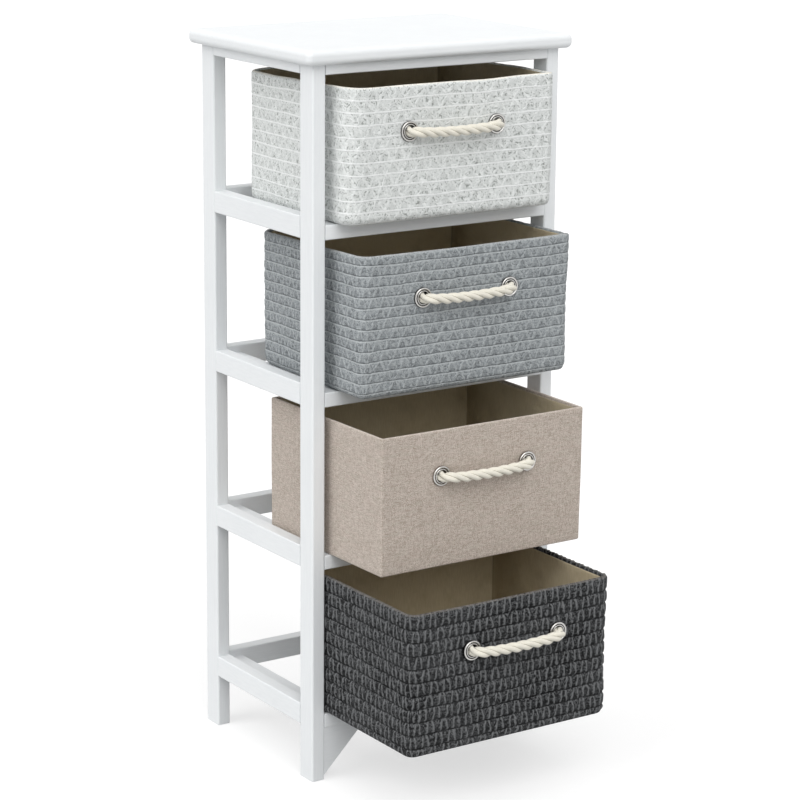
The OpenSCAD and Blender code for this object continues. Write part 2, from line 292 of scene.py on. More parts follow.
def distanceRun(*coordinates):
    # how far each point of a path lies from its first one, along the path
    steps = [np.diff(values) ** 2 for values in coordinates]
    return np.append(0, np.cumsum(np.sqrt(sum(steps))))


def joinStretches(*stretches):
    # a profile's quantities, from stretches that give one array or number for each of them
    spread = [np.broadcast_arrays(*stretch) for stretch in stretches]
    return [np.concatenate(values) for values in zip(*spread)]


def pointsFrom(*coordinates):
    # arrays and numbers, spread to one shape, as the coordinates of points
    return np.stack(np.broadcast_arrays(*coordinates), axis=-1)


def roundOutline(width, depth, corner, step):
    # round a rectangle with round corners, anticlockwise from the middle of its back: each point's
    # place on the core, as shares of its half sizes, its angle outwards, and the distance run
    back, side, arc = width / 2 - corner, depth - 2 * corner, corner * math.pi / 2
    lengths = [back, arc, side, arc, 2 * back, arc, side, arc, back]
    counts = [max(5, round(length / step)) for length in lengths]
    at = np.concatenate([k + np.arange(count) / count for k, count in enumerate(counts)])
    ends = np.arange(10)
    x = np.interp(at, ends, [0, -1, -1, -1, -1, 1, 1, 1, 1, 0])
    y = np.interp(at, ends, [1, 1, 1, -1, -1, -1, -1, 1, 1, 1])
    angle = math.pi * np.interp(at, ends, [0.5, 0.5, 1, 1, 1.5, 1.5, 2, 2, 2.5, 2.5])
    run = np.interp(np.append(at, ends[-1]), ends, np.append(0, np.cumsum(lengths)))
    return pointsFrom(x, y), angle, run


def cornerRadii(share, corners):
    # each place's corner radius, from those of the corners at the back left, front left, front right
    # and back right, shared out evenly between them
    x, y = (share[:, 0] + 1) / 2, (share[:, 1] + 1) / 2
    backLeft, frontLeft, frontRight, backRight = corners
    return (1 - x) * (y * backLeft + (1 - y) * frontLeft) + x * ((1 - y) * frontRight + y * backRight)


def wallCorners(look, share, upShare):
    # the corner radii at a height, between those at the foot and those at the rim
    foot, rim = (cornerRadii(share, look[end]) * mm for end in ("footCorners", "rimCorners"))
    return foot * (1 - upShare) + rim * upShare


def outlinePoints(share, angle, half, corner, inset):
    # the outline drawn inset from its outside: a core point and its corner's radius outwards. half is
    # (half width, half depth), and the corner and inset may differ from place to place
    radius = np.maximum(corner - inset, 0.4 * mm)
    x = share[:, 0] * (half[0] - inset - radius) + radius * np.cos(angle)
    y = share[:, 1] * (half[1] - inset - radius) + radius * np.sin(angle)
    return x, y


def pushWalls(x, y, half, push):
    # the side walls moved outwards, by one length at the back and another at the front
    across, back = x / half[0], np.clip(y / half[1], -1, 1) * 0.5 + 0.5
    left, right = (atBack * back + atFront * (1 - back) for atBack, atFront in np.array(push) * mm)
    return x - left * (1 - across) / 2 + right * (1 + across) / 2


def ripples(x, y, z, span, seed, count=7):
    # soft random waves from -1 to 1: a sum of sines whose crests lie about a span apart, in any direction
    random = np.random.default_rng(seed)
    total = 0
    for _ in range(count):
        way = random.normal(size=3)
        way *= 2 * math.pi / span * random.uniform(0.6, 1.4) / np.linalg.norm(way)
        total = total + np.sin(way[0] * x + way[1] * y + way[2] * z + random.uniform(0, 6.3))
    return total / math.sqrt(count) / 1.3


woodwork = {
    "edge": 0.4 * mm,
    "railCorner": 1.4 * mm,
    "legCorner": 2.2 * mm,
    "boardCorner": 7 * mm,
    "boardEdge": 6.5 * mm,
    "along": {"x": (0.12, 1, 1), "y": (1, 0.12, 1), "z": (1, 1, 0.06)},  # how far the grain is drawn out
    "relief": 0.12 * mm,
    "paint": (0.795, 0.815, 0.825),
    "hollows": (0.75, 0.77, 0.785),
}


def paintedWood(grain):
    # white satin paint over closed grain, which runs along the x, y or z axis
    paint = Paint(f"paintedWood{grain.upper()}", Specular_IOR_Level=0.45)
    place = paint.place()
    drawn = paint.scaled(place, woodwork["along"][grain])
    fibres = paint.noise(drawn, 520, 3, 0.6)
    brush = paint.noise(drawn, 160, 2)
    cloud = paint.noise(place, 14, 2)
    hollow = slope(fibres, 0.62, 0.34) * 0.5 + slope(cloud, 0.35, 0.75) * 0.3
    paint.finish(
        Base_Color=paint.mix(hollow, woodwork["paint"], woodwork["hollows"]),
        Roughness=0.38 + cloud * 0.14,
        Normal=paint.bump(fibres * 0.6 + brush * 0.4, woodwork["relief"], 0.35),
    )
    return paint.material


def roundBlock(name, low, high, axis, corner, edge, steps):
    # a block along an axis: round corners of the first radius along it, and at both ends soft edges
    # of the second, with each vertex's own direction outwards as its normal
    low, high = np.array(low), np.array(high)
    half = (high - low) / 2
    first, second = [(1, 2), (2, 0), (0, 1)][axis]
    quarter = np.linspace(0, math.pi / 2, steps + 1)
    lean = np.concatenate([-quarter[::-1], quarter])[:, None]
    angle = np.concatenate([quarter + k * math.pi / 2 for k in range(4)])
    radius = corner - edge * (1 - np.cos(lean))
    signs = np.repeat([(1, 1), (-1, 1), (-1, -1), (1, -1)], steps + 1, axis=0).T
    points, normals = np.zeros((2, len(lean), len(angle), 3))
    for sign, way, wave in ((signs[0], first, np.cos(angle)), (signs[1], second, np.sin(angle))):
        points[..., way] = sign * (half[way] - corner) + radius * wave
        normals[..., way] = np.cos(lean) * wave
    tip = np.repeat([-1, 1], steps + 1)[:, None] * (half[axis] - edge)
    points[..., axis] = tip + edge * np.sin(lean)
    normals[..., axis] = np.sin(lean)
    mesh = surfaceMesh(name, points + (low + high) / 2)
    mesh.normals_split_custom_set_from_vertices(normals.reshape(-1, 3))
    return mesh


def pieceName(node):
    # front_left_leg becomes frontLeftLeg
    words = node.split("_")
    return words[0] + "".join(word.capitalize() for word in words[1:])


def coverNodes(material, *nodes):
    # nodes that keep their own meshes and get a material
    for node in nodes:
        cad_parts[node].material_slots[0].material = material


def makeWoodwork():
    paints = [paintedWood(grain) for grain in "xyz"]
    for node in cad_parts:
        if not node.endswith("_leg") and "_rail_" not in node and node != "top_board":
            continue
        low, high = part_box(node)
        axis = grain = int(np.argmax(np.array(high) - np.array(low)))
        corner = woodwork["legCorner"] if node.endswith("_leg") else woodwork["railCorner"]
        edge, steps = woodwork["edge"], 4
        if node == "top_board":
            axis, grain = 2, 0
            corner, edge, steps = woodwork["boardCorner"], woodwork["boardEdge"], 8
        mesh = roundBlock(pieceName(node), low, high, axis, corner, edge, steps)
        addPiece(mesh, "frame", paints[grain], node)
    coverNodes(paints[1], "left_runners", "right_runners")
    coverNodes(paints[0], "left_corner_brace", "right_corner_brace")
    print("woodwork made")


# dowels, screws and stiffening boards, which keep their own meshes
hiddenParts = {
    "bareBeech": {"color": (0.56, 0.38, 0.2), "flecks": (0.4, 0.25, 0.12), "drawn": (1, 1, 0.4)},
    "greyBoard": {"color": (0.36, 0.27, 0.17), "flecks": (0.24, 0.17, 0.1), "drawn": (1, 1, 1)},
    "zinc": (0.62, 0.62, 0.63),
}


def fleckedPaint(name, roughness, noise, edges, relief):
    # bare wood or board: one noise colours the surface and roughens it
    paint, look = Paint(name, Roughness=roughness), hiddenParts[name]
    flecks = paint.noise(paint.scaled(paint.place(), look["drawn"]), *noise)
    color = paint.mix(slope(flecks, *edges), look["color"], look["flecks"])
    paint.finish(Base_Color=color, Normal=paint.bump(flecks, relief))
    return paint.material


def zincPlate():
    paint = Paint("zincPlate", Base_Color=hiddenParts["zinc"], Metallic=1.0)
    paint.finish(Roughness=0.3 + paint.noise(paint.place(), 700) * 0.2)
    return paint.material


def finishHiddenParts():
    coverNodes(fleckedPaint("bareBeech", 0.6, (900, 3), (0.5, 0.66), 0.1 * mm), "rail_dowels")
    coverNodes(zincPlate(), "board_screws")
    board = fleckedPaint("greyBoard", 0.85, (800, 4, 0.65), (0.45, 0.7), 0.15 * mm)
    coverNodes(board, *(f"{name}_base_board" for name in baskets))
    print("hidden parts finished")


rope = {
    "thickness": 11.5 * mm,
    "lay": 41 * mm,  # length in which a strand goes once round
    "strandReach": 0.245,  # from the rope's middle to a strand's, in thicknesses
    "strandRadius": 0.255,
    "around": 36,
    "ringStep": 0.9 * mm,
    # the route from a knot to the middle: towards the middle, out from the basket's front, and up
    "bend": [(0, -2, 0), (0, 2, 0), (0.7, 5.4, 0), (2.6, 8.4, -0.1), (5.6, 10.4, -0.2), (9.5, 11.2, -0.5)],
    "span": [(0.35, 11.8, -1.3), (0.65, 12.2, -1.9)],  # the first is a share of the way to the middle
    "middle": (12.4, -2.2),  # out and up
    "yarns": (7, 260),  # yarns in a strand, and their turns in a metre
    "color": (0.79, 0.757, 0.66),
    "shade": (0.28, 0.245, 0.175),
    "patches": (0.76, 0.75, 0.69),
}


def eyeletCentres(name):
    # the middles of a basket's two eyelets, on its front
    low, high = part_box(f"{name}_eyelets")
    front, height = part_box(f"{name}_shell")[0][1], (low[2] + high[2]) / 2
    return [np.array((x, front, height)) for x in (low[0] + eyelet["flange"], high[0] - eyelet["flange"])]


def ropeRoute(name):
    # the whole route in metres, from the left knot to the right one
    left, right = eyeletCentres(name)
    reach = (right[0] - left[0]) / 2
    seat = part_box(f"{name}_rope_handle")[1][1]
    half = [(reach, seat - left[1], 0)]
    half += [(reach - x * mm, -y * mm, z * mm) for x, y, z in rope["bend"]]
    half += [(reach * (1 - share), -y * mm, z * mm) for share, y, z in rope["span"]]
    half = np.array(half)
    crown = [(0, -rope["middle"][0] * mm, rope["middle"][1] * mm)]
    return np.concatenate([half * (-1, 1, 1), crown, half[::-1]]) + (left + right) / 2


def smoothPath(points, step):
    # a Catmull-Rom curve through the points, in even steps along its length
    ends = np.concatenate([2 * points[:1] - points[1:2], points, 2 * points[-1:] - points[-2:-1]])
    t = np.linspace(0, len(points) - 1, 40 * len(points))
    first = np.minimum(t.astype(int), len(points) - 2)
    f = (t - first)[:, None]
    a, b, c, d = (ends[first + k] for k in range(4))
    curve = 0.5 * (2 * b + (c - a) * f + (2 * a - 5 * b + 4 * c - d) * f**2 + (3 * b - a - 3 * c + d) * f**3)
    run = distanceRun(*curve.T)
    even = np.linspace(0, run[-1], max(3, round(run[-1] / step)))
    return pointsFrom(*(np.interp(even, run, values) for values in curve.T)), even


def strandedTube(name, path, run, thickness, upright=(0, 0, 1), taper=0.0):
    # three round strands laid together: at each angle the reach is that of the nearest strand's
    # circle, and the angle turns evenly along the path
    ahead = np.gradient(path, axis=0)
    ahead /= np.linalg.norm(ahead, axis=1)[:, None]
    across = np.cross(ahead, upright)
    across /= np.linalg.norm(across, axis=1)[:, None]
    up = np.cross(across, ahead)
    turns = np.linspace(0, 1, rope["around"] + 1)
    strand = (turns - run[:, None] / rope["lay"]) * 3
    angle, offset = 2 * math.pi * turns[:-1, None], (part(strand[:, :-1]) - 0.5) * 2 * math.pi / 3
    reach, radius = rope["strandReach"] * thickness, rope["strandRadius"] * thickness
    spread = reach * np.cos(offset) + np.sqrt(np.maximum(radius**2 - (reach * np.sin(offset)) ** 2, 0))
    spread *= 1 - taper * (run / run[-1])[:, None] ** 6
    outwards = up[:, None] * np.cos(angle) + across[:, None] * np.sin(angle)
    points = path[:, None] + spread[..., None] * outwards
    return surfaceMesh(name, points, pointsFrom(strand, run[:, None]))


def cottonRope():
    # each strand is a bundle of soft yarns, which turn against the strands: a UV unit is one strand
    paint = Paint("cottonRope", Roughness=0.85, Sheen_Weight=0.25, Sheen_Roughness=0.5)
    u, v, _ = paint.axes(paint.cloth())
    valley = slope(size(part(u) - 0.5), 0.44, 0.49)
    count, turns = rope["yarns"]
    yarns = sine((u * count - v * turns) * (2 * math.pi)) * 0.5 + 0.5
    fluff = paint.noise(paint.place(), 1400, 3, 0.6)
    patches = paint.noise(paint.place(), 120, 2)
    shade = valley * 0.9 + slope(yarns, 0.3, 0.0) * 0.1 + slope(fluff, 0.5, 0.25) * 0.12
    layers = (shade, "shade"), (slope(patches, 0.5, 0.8) * 0.2, "patches")
    color = paint.coats(rope["color"], rope, *layers)
    paint.finish(Base_Color=color, Normal=paint.bump(yarns * 0.6 + fluff * 0.6, 0.35 * mm, 0.8))
    return paint.material


knot = {
    "reach": 6.4 * mm,
    "wave": 2.6 * mm,
    "depth": 4.4 * mm,
    "thickness": 9.2 * mm,
    "seat": 0.76,  # from the handle's end to the knot's middle, in radii of the CAD's ball
    "tail": 20 * mm,
    "tailThickness": 10.925 * mm,
    "tailDrop": 1.5 * mm,
    "taper": 0.35,  # of the tail, towards its end
    "upright": (0.2, 1, 0.1),  # a direction that the turns never run along
}


def knotPath():
    # a trefoil: it winds twice round the rope's line while it waves three times in and out
    t = np.linspace(0, 2 * math.pi, 150)
    reach = knot["reach"] + knot["wave"] * np.cos(3 * t)
    path = pointsFrom(reach * np.cos(2 * t), knot["depth"] * np.sin(3 * t), reach * np.sin(2 * t))
    return path, distanceRun(*path.T)


def makeKnots(name, material):
    # a knot at each end of the rope, and a short tail that leaves it backwards and droops
    surfaces = []
    low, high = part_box(f"{name}_rope_knots")
    ball = (high[2] - low[2]) / 2
    path, run = knotPath()
    tail = np.linspace(0, knot["tail"], 24)
    tailPath = pointsFrom(0, tail, -((tail / knot["tail"]) ** 2) * knot["tailDrop"])
    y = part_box(f"{name}_rope_handle")[1][1] + knot["seat"] * ball
    for x in (low[0] + ball, high[0] - ball):
        centre = np.array((x, y, (low[2] + high[2]) / 2))
        surfaces += [
            strandedTube("turns", path + centre, run, knot["thickness"], knot["upright"]),
            strandedTube("tail", tailPath + centre, tail, knot["tailThickness"], taper=knot["taper"]),
        ]
    mesh = joinSurfaces(f"{name}Knots", surfaces)
    return addPiece(mesh, f"{name}_basket", material, f"{name}_rope_knots")


def makeRopes():
    # the cords come first: their routes are fixed, and the knots go with them
    material = cottonRope()
    for name in baskets:
        route = ropeRoute(name)
        path, run = smoothPath(route, rope["ringStep"])
        mesh = strandedTube(f"{name}Rope", path, run, rope["thickness"])
        piece = addPiece(mesh, f"{name}_basket", material, f"{name}_rope_handle")
        knots = makeKnots(name, material)
    print("ropes and knots made")


eyelet = {
    "flange": 11 * mm,
    "bore": 6.5 * mm,
    "lip": 0.75 * mm,  # radius of the rolled lip
    "lipOut": 1.3 * mm,  # how far out its middle lies
    "lipWidth": 1.9 * mm,  # from the bore to the groove
    "crown": 2.1 * mm,
    "groove": 0.2 * mm,  # the height of the groove between the lip and the crown
    "barrel": 0.8 * mm,  # the barrel's thickness
    "tuck": 1.1 * mm,  # how far the flange's edge presses into the basket's wall
    "washerGap": 0.9 * mm,  # from the bore to the washer
    "hole": (9 * mm, 7.4 * mm),  # where the hole in the wall starts and is at its full depth
    "holeDepth": 4.6 * mm,
    "seat": (14 * mm, 10 * mm),  # where the wall starts to be pressed flat, and is flat
    "seatDepth": 0.5 * mm,
    "liningSeat": (13 * mm, 34 * mm),  # where the lining is flat, and where it hangs free again
    "metal": (0.56, 0.55, 0.535),
    "tarnish": (0.14, 0.136, 0.13),  # painted shade and some tarnish in the grooves and round the flange's edge
    # on the linen basket the same marks are lighter and warmer: painted shade mixed with a painted
    # reflection of the cloth
    "linenTarnish": (0.33, 0.30, 0.27),
}


def nickelPlate(name):
    # bright plate, with painted shade and some tarnish in the groove, round the edge and down the bore,
    # lighter and warmer on the linen basket as a painted reflection of its cloth: the UV map's second
    # coordinate is the distance from the eyelet's axis
    paint = Paint(f"{name}Nickel", Metallic=1.0)
    _, reach, _ = paint.axes(paint.cloth())
    wear = paint.noise(paint.place(), 260, 3)
    fine = paint.noise(paint.place(), 2400, 2)
    groove = slope(size(reach - (eyelet["bore"] + 1.75 * mm)), 0.7 * mm, 0.3 * mm)
    edge = slope(reach, eyelet["flange"] - 0.7 * mm, eyelet["flange"] - 0.1 * mm)
    bore = slope(reach, eyelet["bore"] + 0.5 * mm, eyelet["bore"] + 0.1 * mm)
    # painted shade and tarnish in the groove, round the edge and down the bore
    dark = most(most(groove, edge), bore) * (0.7 + wear * 0.5)
    tarnish = eyelet["linenTarnish"] if name == "linen" else eyelet["tarnish"]
    paint.finish(
        Base_Color=paint.mix(dark, eyelet["metal"], tarnish),
        Roughness=0.16 + slope(wear, 0.4, 0.7) * 0.14,
        Normal=paint.bump(fine, 0.02 * mm, 0.4),
    )
    return paint.material


def turnedRing(profile, centre, steps=64):
    # a closed profile of (radius, distance out) pairs, carried once round the y axis
    angle = np.linspace(0, 2 * math.pi, steps, endpoint=False)
    radius, out = profile[:, :1], profile[:, 1:]
    points = pointsFrom(radius * np.cos(angle), -out, radius * np.sin(angle))
    uv = pointsFrom(np.linspace(0, 1, steps + 1), np.append(radius, radius[:1])[:, None])
    return surfaceMesh("ring", points + centre, uv, loop=True)


def domeProfile(inner, outer, foot, top, steps, power=1.0):
    # half a wave, from the inner radius to the outer one, that rises from foot to top between them
    sweep = np.linspace(0, math.pi, steps)
    radius = (inner + outer) / 2 - (outer - inner) / 2 * np.cos(sweep)
    return pointsFrom(radius, foot + (top - foot) * np.sin(sweep) ** power)


def eyeletProfile(depth):
    # from the bore's inner end out over a rolled lip, a shallow groove and the crown, to the edge
    # that presses into the wall, and back behind the flange
    bore, flange, lip, tuck = (eyelet[key] for key in ("bore", "flange", "lip", "tuck"))
    bend = np.linspace(math.pi, -0.1 * math.pi, 9)
    roll = pointsFrom(bore + lip + lip * np.cos(bend), eyelet["lipOut"] + lip * np.sin(bend))
    crown = domeProfile(bore + eyelet["lipWidth"], flange, eyelet["groove"], eyelet["crown"], 12, 0.7)
    outside = bore + eyelet["barrel"]
    edge = [(flange, -tuck), (flange - 0.5 * mm, -tuck)]
    barrel = [(outside, -0.3 * mm), (outside, -depth), (bore, -depth)]
    return np.concatenate([roll, crown, edge, barrel])[::-1]


def makeEyelets():
    for name in baskets:
        metal = nickelPlate(name)
        centres = eyeletCentres(name)
        front = centres[0][1]
        profile = eyeletProfile(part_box(f"{name}_eyelets")[1][1] - front)
        washer = [front - corner[1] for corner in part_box(f"{name}_eyelet_washers")]
        dome = domeProfile(eyelet["bore"] + eyelet["washerGap"], eyelet["flange"], *washer, 10)
        for kind, node, line in (("Eyelets", "eyelets", profile), ("Washers", "eyelet_washers", dome)):
            mesh = joinSurfaces(f"{name}{kind}", [turnedRing(line, centre) for centre in centres])
            addPiece(mesh, f"{name}_basket", metal, f"{name}_{node}")
    print("eyelets made")


# what the braided baskets share, unless their own values say otherwise
braided = {
    "thick": 6 * mm,
    "edge": 8 * mm,
    "start": 0.0,  # how much taller the first row is
    "lineHeight": 0.0,  # how far the stitched line between two rows stands proud
    "wander": 3 * mm,  # how far the strands stray sideways, times a noise of about 0.2
    "yarn": 1.0,  # how narrow the yarns are
    "fade": (0.25, 0.45),  # the noise at which a strand's crest starts to show and is full
    # how dark the painted shade along the wall's bottom bend is
    "footLine": 0.0,
    "stagger": 0.382,  # how far each row's arches lie beside those of the row above, in pitches
    "firstPlace": 0.3,  # how far down in its row the rim's top lies
    "strayRound": [(0.8 * mm, 50 * mm), (0.35 * mm, 13 * mm)],  # the relief's waves: reach and span
    "strayDown": [(0.45 * mm, 60 * mm), (0.2 * mm, 12 * mm)],
    "lumps": 7 * mm,
}
whiteBasket = {
    **braided,
    # in millimetres: the corners at the back left, front left, front right and back right, and how
    # far the left wall and the right one are pushed outwards at the back and at the front
    "rimCorners": (26, 24, 7, 20),
    "footCorners": (26, 20, 9, 20),
    "push": ((-2.5, 0), (0, 0.5)),
    "row": 13.2 * mm,  # height of one sewn row
    "start": 0.8 * mm,
    "pitch": 16.7 * mm,  # length of one turn of the braid
    "spread": 0.85,  # how far a strand gets from its arch's middle, as a share of the way
    "arch": 0.9,  # power of the curve by which it gets there
    "groove": 0.2 * mm,
    "strand": 0.3 * mm,
    "lineHeight": 0.25 * mm,
    "lineWidth": 0.095,  # as a share of a row
    "step": (2.0 * mm, 1.5 * mm),  # of the mesh, round and down
    "sag": 2.0 * mm,  # of the rim's front
    "backDip": 4.5 * mm,  # of its back left corner
    "hemDrop": 0.3 * mm,  # how far below its place in the frame the lining's hem hangs
    "liningTone": 1.0,  # how much lighter or darker the lining is painted in this basket, standing in for the light inside it
    "bulge": 1.2 * mm,
    "color": (0.645, 0.667, 0.655),
    "light": (0.84, 0.858, 0.848),
    "dark": (0.20, 0.215, 0.20),
    "stitch": (0.90, 0.915, 0.91),
    "gloss": 0.3,
    # colour of the painted highlight along the rim's top
    "rimLine": (0.92, 0.88, 0.78),
    "grain": 0.6,
    "wander": 9 * mm,
    "yarn": 1.6,
    "fade": (0.3, 0.52),
    "tick": 0.85,
    "tickEdges": (0.665, 0.575),  # the noise at which the dark flecks start and are full
    # how strong the painted highlight on the strands' crests is, and below it the painted shade in their
    # hollows
    "crest": 0.36,
    "hollow": 0.2,
    "seam": 0.0,
    "line": 0.85,
    "seed": 11,
}
greyBasket = {
    **braided,
    "rimCorners": (24, 16, 5, 18),
    "footCorners": (24, 9, 9, 18),
    "push": ((-2.5, 0.5), (2, 5)),
    "row": 11.4 * mm,
    "pitch": 15.3 * mm,
    "spread": 0.75,
    "arch": 0.7,
    "groove": 0.7 * mm,
    "strand": 0.7 * mm,
    "lineWidth": 0.09,
    "step": (1.8 * mm, 1.45 * mm),
    "sag": 1.0 * mm,
    "backDip": 4 * mm,
    "hemDrop": 0.6 * mm,
    "liningTone": 1.16,
    "bulge": 2.0 * mm,
    "color": (0.262, 0.284, 0.295),
    "light": (0.445, 0.47, 0.48),
    "dark": (0.075, 0.083, 0.09),
    "stitch": (0.60, 0.63, 0.64),
    "gloss": 0.25,
    "rimLine": (0.42, 0.43, 0.43),
    "grain": 0.7,
    "tick": 0.6,
    "tickEdges": (0.70, 0.60),
    "crest": 0.32,
    "hollow": 0.34,
    "seam": 0.75,
    "line": 0.42,
    "seed": 12,
}
linenBasket = {
    "rimCorners": (2,) * 4,
    "footCorners": (2, 2, 5, 2),
    "push": ((3.5, 0), (0, 0)),
    "thick": 4 * mm,
    "edge": 1.5 * mm,
    "thread": 1.15 * mm,  # from one thread to the next
    "step": (4 * mm, 4 * mm),
    "sag": 0.3 * mm,
    "backDip": 0,
    "hemDrop": 1.2 * mm,
    "liningTone": 1.0,
    "bulge": 0.6 * mm,
    "color": (0.49, 0.42, 0.36),
    "light": (0.66, 0.59, 0.53),
    "dark": (0.31, 0.25, 0.20),
    "warm": (0.56, 0.45, 0.40),
    "green": (0.46, 0.43, 0.35),
    "seed": 13,
}
charcoalBasket = {
    **braided,
    "rimCorners": (8, 14, 14, 18),
    "footCorners": (8, 12, 17, 18),
    "push": ((4.5, 4.5), (0, -0.5)),
    "edge": 6 * mm,
    "row": 14.5 * mm,
    "start": 4.0 * mm,
    "pitch": 15.4 * mm,
    "spread": 0.52,
    "arch": 0.25,
    "groove": 2.2 * mm,
    "strand": 1.3 * mm,
    "lineWidth": 0.08,
    "step": (1.55 * mm, 1.4 * mm),
    "sag": 0.6 * mm,
    "backDip": 0,
    "hemDrop": 2.2 * mm,
    "liningTone": 0.97,
    "bulge": 1.6 * mm,
    "color": (0.036, 0.037, 0.039),
    "light": (0.205, 0.21, 0.215),
    "dark": (0.003, 0.0031, 0.0034),
    "stitch": (0.02, 0.02, 0.022),
    "gloss": 0.12,
    "rimLine": (0.15, 0.14, 0.13),
    "grain": 0.5,
    "tick": 0.9,
    "tickEdges": (0.77, 0.66),
    "crest": 0.6,
    "hollow": 0.65,
    "seam": 1.0,
    "line": 0.0,
    "footLine": 0.9,
    "seed": 14,
}
baskets = {"white": whiteBasket, "grey": greyBasket, "linen": linenBasket, "charcoal": charcoalBasket}


def rimDip(look, x, y, half, upShare):
    # how far the rim hangs down: in a slack curve along the front, in small waves all round, and
    # towards the back left corner, less and less down the wall
    front = look["sag"] * (1 - (x / half[0]) ** 2) * upShare**3 * (y < 0)
    waves = 0.35 * look["sag"] * ripples(x, y, 0, 90 * mm, look["seed"] + 50) * upShare**2
    left, back = np.clip(0.5 - x / half[0] / 2, 0, 1), np.clip(0.5 + y / half[1] / 2, 0, 1)
    return front + waves + look["backDip"] * left**3 * back * upShare**3


def braid(u, s, look, perimeter):
    # rows sewn one under another, at u metres round and s metres down from the rim, where the first
    # one is taller. Gives the row's number, how far down in it the place lies, and how far beside
    # the strand, which leaves its arch's middle as a power of the way down
    down = most((s - look["start"]) / look["row"], look["firstPlace"])
    row = whole(down)
    within = down - row
    turns = round(perimeter / look["pitch"])
    arch = size(part(u * (turns / perimeter) + row * look["stagger"]) * 2 - 1)
    return row, within, arch - look["spread"] * within ** look["arch"]


def stray(waves, x, y, z, seed):
    # a sum of ripples, each given as its reach and its span
    return sum(reach * ripples(x, y, z, span, seed + k) for k, (reach, span) in enumerate(waves))


def wallProfile(look, height):
    # from the floor's outside up the wall, over the round rim and down to the floor's inside: the
    # inset from the outline, the height, the direction outwards, and the length down from the rim
    thick, edge, step = look["thick"], look["edge"], look["step"][1]
    shoulder = height - thick / 2
    flat = np.linspace(34 * mm, edge, 6, endpoint=False)
    lowBend = np.linspace(-math.pi / 2, 0, max(4, round(edge * 1.57 / step)), endpoint=False)
    wall = np.linspace(edge, shoulder, round((height - edge) / step), endpoint=False)
    rimBend = np.linspace(0, math.pi, 9)
    inset, level, outward = joinStretches(
        (flat, 0, -math.pi / 2),
        (edge * (1 - np.cos(lowBend)), edge * (1 + np.sin(lowBend)), lowBend),
        (0, wall, 0),
        (thick / 2 * (1 - np.cos(rimBend)), shoulder + thick / 2 * np.sin(rimBend), rimBend),
        (thick, np.linspace(shoulder, 5 * mm, 12)[1:], math.pi),
    )
    run = distanceRun(inset, level)
    top = len(flat) + len(lowBend) + len(wall) + len(rimBend) // 2
    return inset, level, outward, run[top] - run


def basketWall(name):
    # the wall is the outline carried up the profile. It leans and swells in slow waves, its rim
    # dips between the corners, and the braid's relief goes into it along its own direction. Also
    # gives the length round the wall, and the length from the rim down to the foot
    look = baskets[name]
    (width, depth, height), middle = boxOf(f"{name}_shell")
    half = (width / 2, depth / 2)
    share, angle, run = roundOutline(width, depth, look["rimCorners"][1] * mm, look["step"][0])
    perimeter = run[-1]
    inset, level, outward, down = (values[:, None] for values in wallProfile(look, height))
    outX, outUp = np.cos(outward), np.sin(outward)
    inside, upShare = outX < -0.3, level / height
    corner = wallCorners(look, share, upShare)
    x, y = outlinePoints(share, angle, half, corner, inset)
    swell = 0.5 * look["bulge"] * ripples(x, y, level * 1.3, 160 * mm, look["seed"])
    swell = swell * np.sin(math.pi * np.clip(upShare, 0, 1)) ** 0.6
    relief, strayU, s = 0 * x, 0 * x, down + 0 * x
    if name != "linen":
        strayU = stray(look["strayRound"], x, y, level, look["seed"] + 20)
        s = down + stray(look["strayDown"], x, y, level * 1.5, look["seed"] + 30)
        _, within, beside = braid(run[:-1] + strayU, s, look, perimeter)
        seam, crest = size(within * 2 - 1) ** 5, slope(size(beside), 0.26, 0.04)
        relief = look["groove"] * seam + look["strand"] * (1 - crest) * (1 - seam)
        if look["lineHeight"]:
            line = slope(least(within, 1 - within), look["lineWidth"], 0.3 * look["lineWidth"])
            relief = (relief + look["lineHeight"]) * (1 - line)
        relief = relief + 0.2 * look["strand"] * (1 + ripples(x, y, level, look["lumps"], look["seed"] + 40))
        relief = relief * slope(outUp, 1.7, 0.6) * slope(outUp, -1.0, -0.45) * ~inside
    for centre in eyeletCentres(name) - middle:
        near = np.hypot(x - centre[0], level - centre[2])
        hole = slope(near, *eyelet["hole"]) * (y < 2 * mm - half[1]) * (outX > 0.5)
        seat = slope(near, *eyelet["seat"]) * (y < 0)
        relief = relief * (1 - seat) + eyelet["seatDepth"] * seat + eyelet["holeDepth"] * hole
        swell = swell * (1 - seat)
    swell = np.where(inside, most(swell, 0), swell)
    z = level - relief * outUp - rimDip(look, x, y, half, upShare)
    x, y = outlinePoints(share, angle, half, corner, inset - swell + relief * outX)
    points = pointsFrom(pushWalls(x, y, half, look["push"]), y, z)
    u = np.append(run[:-1] + strayU, strayU[:, :1] + perimeter, axis=1)
    uv = pointsFrom(u, np.append(s, s[:, :1], axis=1))
    foot = down[: len(down) // 2].max() - look["edge"] * math.pi / 4
    return surfaceMesh(f"{name}Wall", points + middle, uv), perimeter, foot


